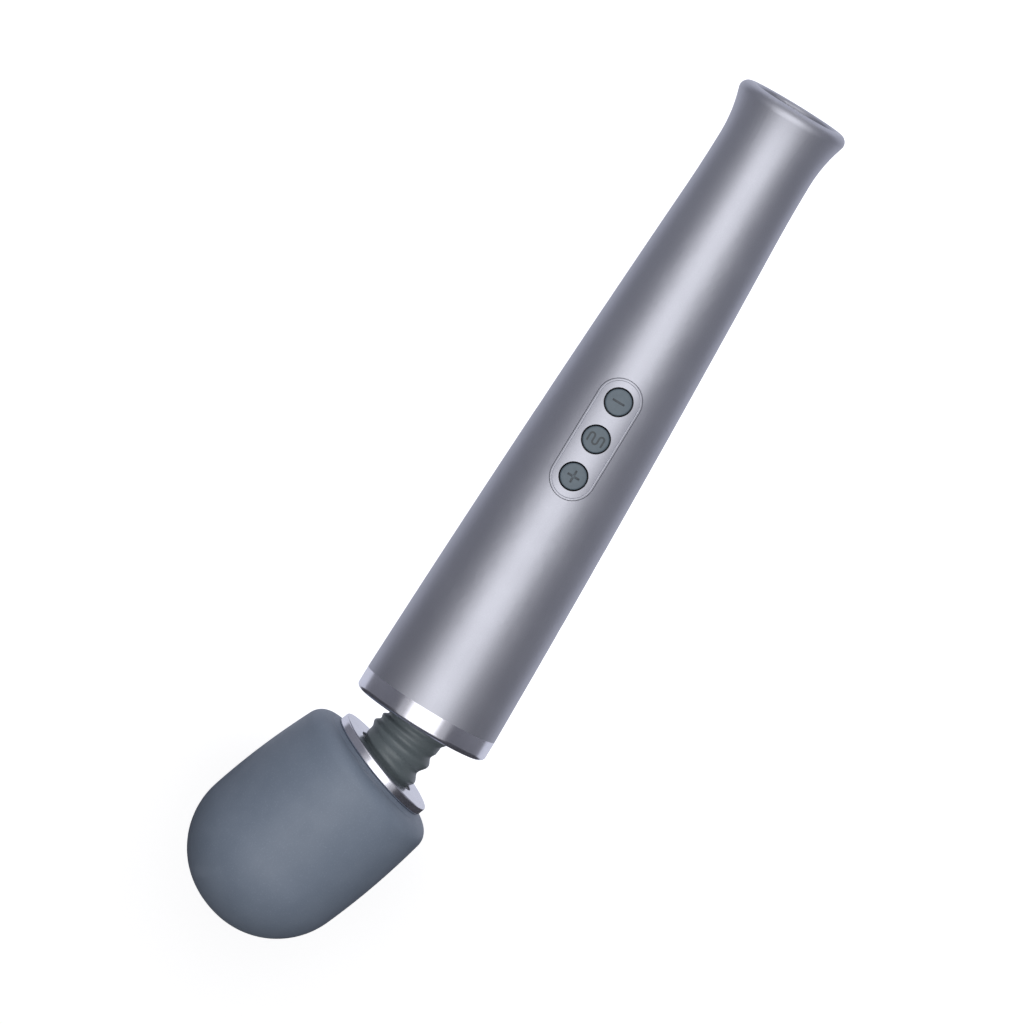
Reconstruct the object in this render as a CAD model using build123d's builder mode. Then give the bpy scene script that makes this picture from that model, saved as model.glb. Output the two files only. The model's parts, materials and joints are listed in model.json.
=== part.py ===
from build123d import *
import os
from math import asin, cos, degrees, pi, radians, sin

# Cordless wand massager: a metal handle, a flexible neck and a vibrating head under silicone.
# Millimetres. +X runs along the handle from the flared tail to the head, +Z points out of the
# button face, and the origin is the mouth of the charging port, on the handle's axis.
# At rest the neck is bent sideways, towards -Y and a little down.

# ---- Driving dimensions: handle -------------------------------------------------------------
lip_x = -6.0            # outer plane of the flared tail
lip_radius = 3.0        # rounding of the tail's lip
mouth_r = 14.7          # bore of the tail's mouth
waist_x = 14.0          # narrowest place of the handle
waist_r = 17.35
flare_radius = 51.0     # hollow curve from the waist back to the lip
rise_radius = 450.0     # hollow curve from the waist forward
rise_turn = 2.78        # degrees that the forward hollow curve turns
band_x = 226.7          # joint between the shell and the polished front band
band_r = 24.6
face_x = 234.2          # front face of the band
band_round = 1.7        # rounding of the band's front corner
wall = 2.0              # shell wall
port_r = 4.1            # charging port: body of the charging plug
port_depth = 4.0
jack_r = 2.8            # inner barrel of the socket
fit_gap = 0.1           # assembly gap between fixed pieces

# ---- Driving dimensions: control panel and buttons ------------------------------------------
panel_length = 45.0
panel_width = 15.6
button_x = {"minus": 106.8, "mode": 121.2, "plus": 135.5}
panel_x = 121.2
button_r = 4.5
button_hole_r = 5.0
button_proud = 0.35     # how far the buttons stand out of the handle's surface
panel_sunk = 0.05       # the panel's floor lies this far below the handle's surface
icon_depth = 0.35
icon_width = 0.7        # width of an engraved line
board_top = 10.6        # height of the control board's upper face
switch_height = 3.5
plunger_r = 1.75
plunger_height = 0.6

# ---- Driving dimensions: neck ---------------------------------------------------------------
neck_length = 16.8      # along its bent centre line
neck_turn = 19.9        # degrees that the head is bent at rest
neck_roll = 10.8        # degrees that the plane of this bend is rolled down about the handle
neck_radius = neck_length / radians(neck_turn)
neck_gap = 0.3          # between the boot and its neighbours
boot_inner_r = 8.9
boot_waves = [          # distance along the neck, outer radius, bulge towards the inside of the bend
    (0.3, 10.95, 0.0),
    (1.3, 11.05, -0.4),
    (2.9, 10.55, 0.1),
    (4.7, 11.15, 0.85),
    (6.6, 10.75, 1.0),
    (9.0, 11.9, 0.95),
    (12.2, 10.85, 1.1),
    (14.9, 11.65, 0.1),
    (16.5, 11.3, 0.0),
]
boot_sections = 24      # sections that the boot's outside is lofted through
spring_r = 7.6          # mean radius of the coil spring
spring_wire_r = 0.85
spring_turns = 4
anchor_r = 6.5          # spigots that the spring's ends sit on
anchor_reach = 1.1      # how far each spigot stands into the neck
lead_r = 0.75           # insulated wire
lead_spread = 1.6       # offset of the two motor wires from the neck's centre line

# ---- Driving dimensions: head, along its own axis from the collar's rear face ---------------
collar_r = 20.4
collar_depth = 3.3
collar_hole_r = 12.4
heel_radius = 6.0       # rounding at the rear of the silicone
heel_start = 4.3        # rear plane of the silicone's rounded heel
flank_radius = 271.0    # slightly bulged side
flank_lean = 6.0        # degrees that the side leans at the heel
belly = 38.0            # widest place
belly_r = 30.0
shoulder_radius = 225.0
shoulder_turn = 2.957
dome_radius = 28.65
tip_lean = 2.03         # degrees left for the flatter tip
skin = 3.0              # silicone thickness
pod_inset = 3.1
pod_wall = 2.2
shaft_r = 1.5
can_r = 13.8
can_rear, can_front = 24.0, 54.0
boss_circle_r = 21.4    # circle of the pod's screws
boss_count = 4

heel_r = belly_r - flank_radius + (flank_radius - heel_radius) * cos(radians(flank_lean))

# ---- Frames ---------------------------------------------------------------------------------
bend = radians(neck_turn)
roll = radians(neck_roll)
forward = Vector(1, 0, 0)
sideways = Vector(0, cos(roll), sin(roll))      # the neck bends away from this direction
upward = Vector(0, -sin(roll), cos(roll))       # square to the plane of the bend
neck_centre = forward * face_x - sideways * neck_radius


def neck_place(distance):
    """The point of the neck's centre line at a distance from the handle, and its direction."""
    angle = distance / neck_radius
    point = neck_centre + (forward * sin(angle) + sideways * cos(angle)) * neck_radius
    return point, forward * cos(angle) - sideways * sin(angle)


collar_point, head_dir = neck_place(neck_length)
head_right = forward * sin(bend) + sideways * cos(bend)
head_cross = Plane(collar_point, x_dir=head_right, z_dir=head_dir)
head_side = Plane(collar_point, x_dir=head_dir, z_dir=-head_right)
handle_axis = Axis.X
head_axis = Axis(collar_point, head_dir)
neck_axis = Axis(neck_centre, -upward)

os.makedirs("parts", exist_ok=True)


def finished(piece, name):
    """Label a finished piece and write it to its own file."""
    piece.part.label = name
    export_step(piece.part, f"parts/{name}.step")


# ---- Shared features ------------------------------------------------------------------------
def ring(outer, inner, start, end, cross=Plane.YZ, mode=Mode.ADD):
    """A tube, or a disc when the inner radius is 0, square to the handle or the head."""
    with BuildSketch(cross.offset(start)) as section:
        Circle(outer)
        if inner > 0:
            Circle(inner, mode=Mode.SUBTRACT)
    extrude(section.sketch, amount=end - start, mode=mode)


def rods(radius, circle_r, count, start, end, cross=Plane.YZ, turned=0, mode=Mode.ADD):
    """Round bars or holes spaced evenly on a circle."""
    with BuildSketch(cross.offset(start)) as section:
        with PolarLocations(circle_r, count, start_angle=turned):
            Circle(radius)
    extrude(section.sketch, amount=end - start, mode=mode)


def block(x0, x1, y0, y1, z0, z1, mode=Mode.ADD):
    """A rectangular block between two corners."""
    with BuildSketch(Plane.XY.offset(z0)) as section:
        with Locations(((x0 + x1) / 2, (y0 + y1) / 2)):
            Rectangle(x1 - x0, y1 - y0)
    extrude(section.sketch, amount=z1 - z0, mode=mode)


def wire(points, radius, bend_radius):
    """An insulated wire through the points, with round bends."""
    with BuildLine() as route:
        FilletPolyline(*points, radius=bend_radius)
    path = route.wires()[0]
    with BuildSketch(Plane(path @ 0, z_dir=path % 0)) as section:
        Circle(radius)
    sweep(section.sketch, path=path)


def handle_curve(inset):
    """The handle's side from the waist to the band, at a depth below the surface."""
    rise = JernArc((waist_x, waist_r - inset), (1, 0), rise_radius + inset, rise_turn)
    run = TangentArc(rise @ 1, (band_x, band_r - inset), tangent=rise % 1)
    return rise, run


def handle_layer(outer_inset, inner_inset):
    """A turned layer of the handle between two depths below its surface."""
    with BuildSketch(Plane.XZ) as profile:
        with BuildLine():
            outer, outer_end = handle_curve(outer_inset)
            inner, inner_end = handle_curve(inner_inset)
            Line(outer @ 0, inner @ 0)
            Line(outer_end @ 1, inner_end @ 1)
        make_face()
    revolve(profile.sketch, axis=handle_axis)


def obround(margin, mode):
    """An upright obround bar around the control panel's outline."""
    with BuildSketch(Plane.XY) as outline:
        with Locations((panel_x, 0)):
            SlotOverall(panel_length + 2 * margin, panel_width + 2 * margin)
    extrude(outline.sketch, amount=40, mode=mode)


def head_rear(inset):
    """The head's side from its heel to the widest place, at a depth below the surface."""
    lean_from_heel = 90 - flank_lean
    start = (heel_start + inset, heel_r)
    heel = JernArc(start, (0, 1), heel_radius - inset, -lean_from_heel)
    flank = JernArc(heel @ 1, heel % 1, flank_radius - inset, -flank_lean)
    return heel, flank


def head_front(inset):
    """The head's side from the widest place to the tip, at a depth below the surface."""
    start = (belly, belly_r - inset)
    shoulder = JernArc(start, (1, 0), shoulder_radius - inset, -shoulder_turn)
    dome_turn = 90 - shoulder_turn - tip_lean
    dome = JernArc(shoulder @ 1, shoulder % 1, dome_radius - inset, -dome_turn)
    tip_radius = (dome @ 1).Y / sin(radians(tip_lean))
    tip = JernArc(dome @ 1, dome % 1, tip_radius, -tip_lean)
    return shoulder, tip


# ---- Handle shell: one flared metal tube with an obround window -----------------------------
seat_x = 4.5            # shoulder that the tail cap rests on
seat_back = 6.5
seat_r = 13.2
flare_turn = degrees(asin((waist_x - lip_x - lip_radius) / (flare_radius + lip_radius)))

with BuildPart() as handle_shell:
    with BuildSketch(Plane.XZ):
        with BuildLine():
            flare = JernArc((waist_x, waist_r), (-1, 0), flare_radius, -flare_turn)
            lip = JernArc(flare @ 1, flare % 1, lip_radius, flare_turn + 90)
            Line(lip @ 1, (lip_x, mouth_r))
            outer, outer_end = handle_curve(0)
            inner, inner_end = handle_curve(wall)
            Line(outer_end @ 1, inner_end @ 1)
            Polyline(
                inner @ 0,
                (seat_back, waist_r - wall),
                (seat_back, seat_r),
                (seat_x, seat_r),
                (seat_x, mouth_r),
                (lip_x, mouth_r),
            )
        make_face()
    revolve(axis=handle_axis)
    mouth_edges = handle_shell.edges().filter_by(GeomType.CIRCLE).group_by(Axis.X)[0]
    fillet(mouth_edges.sort_by(SortBy.RADIUS)[0], 1.2)
    obround(fit_gap, Mode.SUBTRACT)
finished(handle_shell, "handle_shell")

# ---- Front band: polished ring with a flat front face and a spigot inside the shell ---------
band_hole_r = 12.2
band_face = 2.2         # thickness of the front face
spigot_r = band_r - wall - 0.3
spigot_wall = 1.9
spigot_x = band_x - 6.5

with BuildPart() as front_band:
    ring(band_r, 0, band_x, face_x)
    ring(spigot_r, 0, spigot_x, band_x)
    ring(spigot_r - spigot_wall, 0, spigot_x, face_x - band_face, mode=Mode.SUBTRACT)
    ring(band_hole_r, 0, face_x - band_face, face_x, mode=Mode.SUBTRACT)
    front_edges = front_band.edges().filter_by(GeomType.CIRCLE).group_by(Axis.X)[-1]
    fillet(front_edges.sort_by(SortBy.RADIUS)[-1], band_round)
    rim_edges = front_band.edges().filter_by(GeomType.CIRCLE).group_by(Axis.X)[-1]
    fillet(rim_edges.sort_by(SortBy.RADIUS)[0], 0.6)
finished(front_band, "front_band")

# ---- Tail cap: dished face around the charging port -----------------------------------------
cap_r = mouth_r - fit_gap
cap_rim_x = -1.6        # the dish is shallower at its rim
cap_floor_r = 7.0
cap_boss_r = 6.6
groove_x, groove_end = 1.0, 2.9
groove_r = 13.0

with BuildPart() as end_cap:
    with BuildSketch(Plane.XZ):
        with BuildLine():
            floor = Line((0, port_r), (0, cap_floor_r))
            dish = TangentArc(floor @ 1, (cap_rim_x, cap_r - 0.8), tangent=(0, 1))
            Polyline(
                dish @ 1,
                (cap_rim_x, cap_r),
                (groove_x, cap_r),
                (groove_x, groove_r),
                (groove_end, groove_r),
                (groove_end, cap_r),
                (seat_x, cap_r),
                (seat_x, seat_r - fit_gap),
                (seat_back, seat_r - fit_gap),
                (seat_back, cap_boss_r),
                (port_depth, cap_boss_r),
                (port_depth, port_r),
                (0, port_r),
            )
        make_face()
    revolve(axis=handle_axis)
finished(end_cap, "end_cap")

seal_wire_r = 0.8
with BuildPart() as end_cap_seal:
    with BuildSketch(Plane.XZ):
        with Locations(((groove_x + groove_end) / 2, groove_r + seal_wire_r)):
            Circle(seal_wire_r)
    revolve(axis=handle_axis)
finished(end_cap_seal, "end_cap_seal")

# ---- Charging socket: barrel, centre pin and solder tabs ------------------------------------
socket_r = 6.4
socket_end = 14.5
pin_r = 1.0

with BuildPart() as charge_socket:
    ring(socket_r, jack_r, port_depth, socket_end - 2)
    ring(socket_r, 0, socket_end - 2, socket_end)
    ring(pin_r, 0, socket_end - 2, socket_end, mode=Mode.SUBTRACT)
finished(charge_socket, "charge_socket")

with BuildPart() as socket_pin:
    ring(pin_r, 0, port_depth + 0.8, socket_end)
    tip_edge = socket_pin.edges().filter_by(GeomType.CIRCLE).group_by(Axis.X)[0]
    fillet(tip_edge, 0.6)
finished(socket_pin, "socket_pin")

tab_z = 3.0
tab_end = socket_end + 3.0
with BuildPart() as socket_tabs:
    for side in (-1, 1):
        middle = side * tab_z
        block(socket_end, tab_end, -1.2, 1.2, middle - 0.2, middle + 0.2)
finished(socket_tabs, "socket_tabs")

# ---- Control panel: follows the handle, with a raised round rim and a ledge behind the wall --
ledge_depth = 3.4
ledge_margin = 1.2
rim_width = 0.9
rim_proud = 0.3
rim_round = 0.27

with BuildPart() as panel_rim:
    handle_layer(-rim_proud, wall)
    obround(0, Mode.INTERSECT)
    obround(-rim_width, Mode.SUBTRACT)
    crest = panel_rim.faces().filter_by(GeomType.PLANE, reverse=True).sort_by(Axis.Z)[-1]
    fillet(crest.edges(), rim_round)

with BuildPart() as panel_ledge:
    handle_layer(wall + fit_gap, ledge_depth)
    obround(ledge_margin, Mode.INTERSECT)

with BuildPart() as control_panel:
    handle_layer(panel_sunk, wall + fit_gap)
    obround(-rim_width / 2, Mode.INTERSECT)
    add(panel_rim.part)
    add(panel_ledge.part)
    with BuildSketch(Plane.XY):
        with Locations(*[(x, 0) for x in button_x.values()]):
            Circle(button_hole_r)
    extrude(amount=40, mode=Mode.SUBTRACT)
finished(control_panel, "control_panel")

# ---- Buttons: caps with engraved signs, a keeper flange and a boss on the switch ------------
switch_top = board_top + switch_height
boss_bottom = switch_top + plunger_height
flange_r = 5.7
flange_bottom = boss_bottom + 0.3
flange_top = flange_bottom + 1.0
sign_length = 4.4


def sign_minus(x):
    """A bar across the handle."""
    with Locations((x, 0)):
        Rectangle(icon_width, sign_length)


def sign_plus(x):
    """A bar across the handle and one along it."""
    sign_minus(x)
    with Locations((x, 0)):
        Rectangle(sign_length, icon_width)


def sign_mode(x):
    """A wave of strokes along the handle, joined by round turns."""
    pitch = 1.75
    strokes = 4
    reach = 1.65
    corners = []
    for count in range(strokes):
        y = (count - (strokes - 1) / 2) * pitch
        side = 1 if count % 2 else -1
        corners += [(x - side * reach, y), (x + side * reach, y)]
    with BuildLine() as wave:
        FilletPolyline(*corners, radius=0.48 * pitch)
    trace(wave.line, line_width=icon_width)


signs = {"minus": sign_minus, "mode": sign_mode, "plus": sign_plus}

for name, x in button_x.items():
    with BuildPart() as engraving:
        handle_layer(-button_proud - 1, -button_proud + icon_depth)
        with BuildSketch(Plane.XY):
            signs[name](x)
        extrude(amount=40, mode=Mode.INTERSECT)

    with BuildPart() as button:
        handle_layer(-button_proud, waist_r)
        with BuildSketch(Plane.XY.offset(flange_bottom)):
            with Locations((x, 0)):
                Circle(button_r)
        extrude(amount=40, mode=Mode.INTERSECT)
        crown = button.faces().sort_by(Axis.Z)[-1]
        fillet(crown.outer_wire().edges(), 0.5)
        with BuildSketch(Plane.XY.offset(flange_bottom)):
            with Locations((x, 0)):
                Circle(flange_r)
        extrude(amount=flange_top - flange_bottom)
        with BuildSketch(Plane.XY.offset(boss_bottom)):
            with Locations((x, 0)):
                Circle(2.2)
        extrude(amount=flange_bottom - boss_bottom)
        add(engraving.part, mode=Mode.SUBTRACT)
    finished(button, f"button_{name}")

    with BuildPart() as plunger:
        with BuildSketch(Plane.XY.offset(switch_top - 0.8)):
            with Locations((x, 0)):
                Circle(plunger_r)
        extrude(amount=plunger_height + 0.8)
    finished(plunger, f"plunger_{name}")

# ---- Switch bodies --------------------------------------------------------------------------
with BuildPart() as tact_switches:
    for x in button_x.values():
        block(x - 3, x + 3, -3, 3, board_top, switch_top)
        with BuildSketch(Plane.XY.offset(switch_top - 1.5)):
            with Locations((x, 0)):
                Circle(plunger_r + 0.06)
        extrude(amount=1.5, mode=Mode.SUBTRACT)
finished(tact_switches, "tact_switches")

# ---- Control board and what stands on it ----------------------------------------------------
board_rear, board_front = 96.0, 162.0
board_half = 11.5
board_thickness = 1.6
board_screw_r = 1.1
board_corners = [
    (x, y) for x in (board_rear + 3.5, board_front - 3.5) for y in (-board_half + 3, board_half - 3)
]

with BuildPart() as control_board:
    with BuildSketch(Plane.XY.offset(board_top - board_thickness)):
        with Locations(((board_rear + board_front) / 2, 0)):
            RectangleRounded(board_front - board_rear, 2 * board_half, 1.5)
        with Locations(*board_corners):
            Circle(board_screw_r + 0.15, mode=Mode.SUBTRACT)
    extrude(amount=board_thickness)
finished(control_board, "control_board")

chips = [(114.8, -7.6, 4.0, 4.0, 0.9), (115.0, 7.4, 5.0, 5.0, 1.0), (130.0, -7.4, 6.0, 5.0, 1.4),
         (130.0, 7.6, 3.0, 4.0, 1.1), (145.5, -5.5, 7.0, 7.0, 1.0), (145.5, 5.5, 5.0, 4.0, 1.5)]
with BuildPart() as board_chips:
    for x, y, length, width, height in chips:
        block(x - length / 2, x + length / 2, y - width / 2, y + width / 2,
              board_top, board_top + height)
finished(board_chips, "board_chips")

with BuildPart() as board_capacitors:
    with BuildSketch(Plane.XY.offset(board_top)):
        with Locations((152.0, 7.0), (152.0, -0.5)):
            Circle(2.5)
    extrude(amount=4.6)
    can_tops = board_capacitors.edges().group_by(Axis.Z)[-1]
    fillet(can_tops, 0.4)
finished(board_capacitors, "board_capacitors")

connector_height = 3.0
rear_plug = (97.5, 101.8)
front_plug = (156.0, 161.0)
with BuildPart() as board_connectors:
    for x0, x1 in (rear_plug, front_plug):
        block(x0, x1, -3.6, 3.6, board_top, board_top + connector_height)
finished(board_connectors, "board_connectors")

# ---- Battery: two cells in line, joined by welded tabs --------------------------------------
cell_r = 9.2
cell_length = 65.0
battery_z = -4.0
cell_gap = 0.6
tab_thickness = 0.3
rear_cell_x = 44.0
front_cell_x = rear_cell_x + cell_length + cell_gap
battery_end = front_cell_x + cell_length
battery_cross = Plane.YZ.shift_origin((0, 0, battery_z))

for name, start in (("battery_cell_rear", rear_cell_x), ("battery_cell_front", front_cell_x)):
    with BuildPart() as cell:
        ring(cell_r, 0, start, start + cell_length - 0.6, cross=battery_cross)
        wrap_edges = cell.edges().filter_by(GeomType.CIRCLE)
        fillet(wrap_edges, 0.6)
        ring(3.0, 0, start + cell_length - 0.6, start + cell_length, cross=battery_cross)
    finished(cell, name)

with BuildPart() as battery_tabs:
    for start in (rear_cell_x - tab_thickness, front_cell_x - tab_thickness, battery_end):
        ring(4.5, 0, start, start + tab_thickness, cross=battery_cross)
finished(battery_tabs, "battery_tabs")

# ---- Chassis: trough for the battery and a cover that carries the board ---------------------
tray_r = 14.6
tray_wall = 1.3
tray_top = 5.5
tray_rear, tray_front = 40.0, 221.4
end_wall = 1.5
rear_wall_x = rear_cell_x - tab_thickness - end_wall
front_wall_x = battery_end + tab_thickness
lug_places = [(x, y) for x in (48.0, 104.0, 168.0) for y in (-11.0, 11.0)]
lug_r = 2.4
screw_r = 1.1
bulkhead_screws_at = [(-4.5, -9.8), (4.5, -9.8)]

with BuildPart() as chassis_tray:
    ring(tray_r, tray_r - tray_wall, tray_rear, tray_front)
    for start in (rear_wall_x, front_wall_x):
        ring(tray_r - tray_wall / 2, 0, start, start + end_wall)
    ring(tray_r - tray_wall / 2, 0, tray_front - 2.0, tray_front)
    with BuildSketch(Plane.XY.offset(1.0)):
        with Locations(*lug_places):
            Circle(lug_r)
    extrude(amount=tray_top - 1.0)
    with BuildSketch(Plane.XY.offset(tray_top)):
        with Locations((130, 0)):
            Rectangle(300, 60)
    extrude(amount=30, mode=Mode.SUBTRACT)
    with BuildSketch(Plane.XY.offset(1.0)):
        with Locations(*lug_places):
            Circle(screw_r)
    extrude(amount=tray_top, mode=Mode.SUBTRACT)
    with BuildSketch(Plane.YZ.offset(tray_front - 3.0)):
        with Locations(*bulkhead_screws_at):
            Circle(screw_r + 0.15)
        with Locations((0, 3.0)):
            Rectangle(9, 11)
    extrude(amount=4, mode=Mode.SUBTRACT)
finished(chassis_tray, "chassis_tray")

cover_thickness = 1.5
cover_rear, cover_front = 41.5, 181.0
cover_half = 13.0
post_r = 2.6
with BuildPart() as chassis_cover:
    block(cover_rear, cover_front, -cover_half, cover_half, tray_top, tray_top + cover_thickness)
    with BuildSketch(Plane.XY.offset(tray_top + cover_thickness)):
        with Locations(*board_corners):
            Circle(post_r)
    extrude(amount=board_top - board_thickness - tray_top - cover_thickness)
    with BuildSketch(Plane.XY.offset(tray_top)):
        with Locations(*board_corners):
            Circle(board_screw_r)
        with Locations(*lug_places):
            Circle(screw_r + 0.15)
        for x in (66.0, 86.0, 128.0, 148.0):
            with Locations((x, 0)):
                SlotOverall(14, 6)
    extrude(amount=10, mode=Mode.SUBTRACT)
finished(chassis_cover, "chassis_cover")


def pan_screws(plane, places, shank_r, head_r, head_height, length):
    """Pan-head screws: heads on the plane, shanks going down into the plane's back."""
    with BuildSketch(plane) as heads:
        with Locations(*places):
            Circle(head_r)
    extrude(heads.sketch, amount=head_height)
    with BuildSketch(plane) as shanks:
        with Locations(*places):
            Circle(shank_r)
    extrude(shanks.sketch, amount=-length)
    with BuildSketch(plane.offset(head_height)) as crosses:
        with Locations(*places):
            Rectangle(1.6 * head_r, 0.4)
            Rectangle(0.4, 1.6 * head_r)
    extrude(crosses.sketch, amount=-0.5 * head_height, mode=Mode.SUBTRACT)


with BuildPart() as chassis_screws:
    pan_screws(Plane.XY.offset(tray_top + cover_thickness), lug_places, screw_r, 2.0, 1.2, 5.5)
finished(chassis_screws, "chassis_screws")

with BuildPart() as board_screws:
    pan_screws(Plane.XY.offset(board_top), board_corners, board_screw_r, 2.0, 1.2, 4.5)
finished(board_screws, "board_screws")

# ---- Bulkhead: closes the chassis and carries the neck --------------------------------------
bulkhead_rear, bulkhead_front = tray_front, 229.0
bulkhead_r = spigot_r - spigot_wall - fit_gap
groove_start, groove_width, groove_depth = 224.2, 2.4, 1.7
lead_hole_r = 3.6
anchor_circle_r = 11.0

with BuildPart() as front_bulkhead:
    ring(bulkhead_r, lead_hole_r, bulkhead_rear, bulkhead_front)
    ring(bulkhead_r, bulkhead_r - groove_depth, groove_start, groove_start + groove_width,
         mode=Mode.SUBTRACT)
    with BuildSketch(Plane.YZ.offset(bulkhead_rear)):
        with Locations(*bulkhead_screws_at):
            Circle(screw_r)
    extrude(amount=5, mode=Mode.SUBTRACT)
    rods(screw_r, anchor_circle_r, 4, bulkhead_front - 4.5, bulkhead_front, turned=45,
         mode=Mode.SUBTRACT)
finished(front_bulkhead, "front_bulkhead")

seal_r = groove_depth / 2
with BuildPart() as bulkhead_seal:
    with BuildSketch(Plane.XZ):
        with Locations((groove_start + groove_width / 2, bulkhead_r - groove_depth + seal_r)):
            Circle(seal_r)
    revolve(axis=handle_axis)
finished(bulkhead_seal, "bulkhead_seal")

with BuildPart() as bulkhead_screws:
    screw_plane = Plane((tray_front - 2.0, 0, 0), x_dir=(0, -1, 0), z_dir=(-1, 0, 0))
    mirrored = [(-y, z) for y, z in bulkhead_screws_at]
    pan_screws(screw_plane, mirrored, screw_r, 2.0, 1.2, 6.0)
finished(bulkhead_screws, "bulkhead_screws")

anchor_flange = 1.6
with BuildPart() as neck_anchor:
    ring(14.0, lead_hole_r, bulkhead_front, bulkhead_front + anchor_flange)
    ring(anchor_r, lead_hole_r, bulkhead_front + anchor_flange, face_x + anchor_reach)
    rods(screw_r + 0.15, anchor_circle_r, 4, bulkhead_front, bulkhead_front + anchor_flange,
         turned=45, mode=Mode.SUBTRACT)
finished(neck_anchor, "neck_anchor")

with BuildPart() as anchor_screws:
    front_plane = Plane.YZ.offset(bulkhead_front + anchor_flange)
    diagonal = anchor_circle_r * sin(pi / 4)
    anchor_places = [(y, z) for y in (-diagonal, diagonal) for z in (-diagonal, diagonal)]
    pan_screws(front_plane, anchor_places, screw_r, 2.0, 1.2, 5.5)
finished(anchor_screws, "anchor_screws")

# ---- Wiring inside the handle ---------------------------------------------------------------
plug_z = board_top + connector_height / 2
with BuildPart() as charge_leads:
    for side in (-1, 1):
        y = side * lead_spread
        z = side * tab_z
        wire([(tab_end, 0, z), (21.5, 0, z), (28, y, z * 0.4), (37, y, 9.8),
              (48, y, plug_z), (rear_plug[0], y, plug_z)], lead_r, 2.5)
finished(charge_leads, "charge_leads")

with BuildPart() as battery_leads:
    wire([(front_wall_x + end_wall, 3, battery_z), (front_wall_x + end_wall + 6.5, 3, battery_z),
          (front_wall_x + end_wall + 6.5, 3, board_top - 0.8),
          (board_front, 3, board_top - 0.8)], lead_r, 2.2)
    wire([(rear_wall_x, -5, battery_z), (rear_wall_x - 5, -5, battery_z),
          (rear_wall_x - 5, -5, board_top - 0.8),
          (board_rear, -5, board_top - 0.8)], lead_r, 2.2)
finished(battery_leads, "battery_leads")

with BuildPart() as handle_leads:
    for side in (-1, 1):
        y = side * lead_spread
        lead_out = upward * side * lead_spread
        wire([(front_plug[1], y, plug_z), (172, y, plug_z), forward * 204 + lead_out,
              forward * face_x + lead_out], lead_r, 12)
finished(handle_leads, "handle_leads")


# ---- Neck: everything here follows the bent centre line -------------------------------------
def bent_tube(outer, inner, start, end, rise=0.0, mode=Mode.ADD):
    """A tube along the neck's centre line between two distances from the handle."""
    point, direction = neck_place(start)
    with BuildSketch(Plane(point, x_dir=upward, z_dir=direction)) as section:
        with Locations((rise, 0)):
            Circle(outer)
            if inner > 0:
                Circle(inner, mode=Mode.SUBTRACT)
    arc = degrees((end - start) / neck_radius)
    revolve(section.sketch, axis=neck_axis, revolution_arc=arc, mode=mode)


def boot_section(distance):
    """The boot's outer radius and sideways bulge, eased between the waves' crests and valleys."""
    pair = next(pair for pair in zip(boot_waves, boot_waves[1:]) if distance <= pair[1][0] + 1e-6)
    (start, start_r, start_bulge), (end, end_r, end_bulge) = pair
    share = (1 - cos(pi * (distance - start) / (end - start))) / 2
    return start_r + (end_r - start_r) * share, start_bulge + (end_bulge - start_bulge) * share


with BuildPart() as neck_boot:
    boot_start, boot_end = boot_waves[0][0], boot_waves[-1][0]
    for count in range(boot_sections + 1):
        distance = boot_start + (boot_end - boot_start) * count / boot_sections
        radius, bulge = boot_section(distance)
        point, direction = neck_place(distance)
        with BuildSketch(Plane(point, x_dir=upward, z_dir=direction)):
            with Locations((0, bulge)):
                Circle(radius)
    loft()
    bent_tube(boot_inner_r, 0, 0, neck_length, mode=Mode.SUBTRACT)
finished(neck_boot, "neck_boot")

with BuildPart() as neck_leads:
    for side in (-1, 1):
        bent_tube(lead_r, 0, neck_gap, neck_length - neck_gap, side * lead_spread)
finished(neck_leads, "neck_leads")

spring_start = anchor_reach + spring_wire_r + 0.2
spring_end = neck_length - spring_start
points_per_turn = 10


def coil_point(step):
    """A point of the spring's wire, wound around the neck's centre line."""
    share = step / (spring_turns * points_per_turn)
    point, direction = neck_place(spring_start + (spring_end - spring_start) * share)
    turn = 2 * pi * step / points_per_turn
    return point + (direction.cross(upward) * cos(turn) + upward * sin(turn)) * spring_r


with BuildPart() as neck_spring:
    with BuildLine() as coil:
        Spline(*[coil_point(step) for step in range(spring_turns * points_per_turn + 1)])
    coil_wire = coil.wires()[0]
    with BuildSketch(Plane(coil_wire @ 0, z_dir=coil_wire % 0)):
        Circle(spring_wire_r)
    sweep(path=coil_wire, is_frenet=True)
finished(neck_spring, "neck_spring")

# ---- Head collar and the spigot that ties the spring to the head ----------------------------
collar_face = 0.8       # thickness of the lip around the collar's hole
pod_spigot_r = 15.0
pod_neck_r = 17.3

with BuildPart() as head_collar:
    ring(collar_r, collar_hole_r, 0, collar_depth, cross=head_cross)
    ring(pod_spigot_r + fit_gap, 0, collar_face, collar_depth, cross=head_cross,
         mode=Mode.SUBTRACT)
    collar_edges = head_collar.edges().filter_by(GeomType.CIRCLE)
    fillet(collar_edges.filter_by(lambda edge: edge.radius > collar_r - 0.1), 0.6)
    rim_edges = head_collar.edges().filter_by(GeomType.CIRCLE)
    rim_edges = rim_edges.filter_by(lambda edge: edge.radius < collar_hole_r + 0.1)
    fillet(rim_edges.sort_by(head_axis)[0], 0.3)
finished(head_collar, "head_collar")

pod_base_rear = heel_start + pod_inset
pod_base_front = heel_start + pod_inset + pod_wall
flange_front = pod_base_front + 2.0
with BuildPart() as head_anchor:
    ring(anchor_r, lead_hole_r, -anchor_reach, pod_base_front, cross=head_cross)
    ring(11.5, lead_hole_r, pod_base_front, flange_front, cross=head_cross)
finished(head_anchor, "head_anchor")

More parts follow.
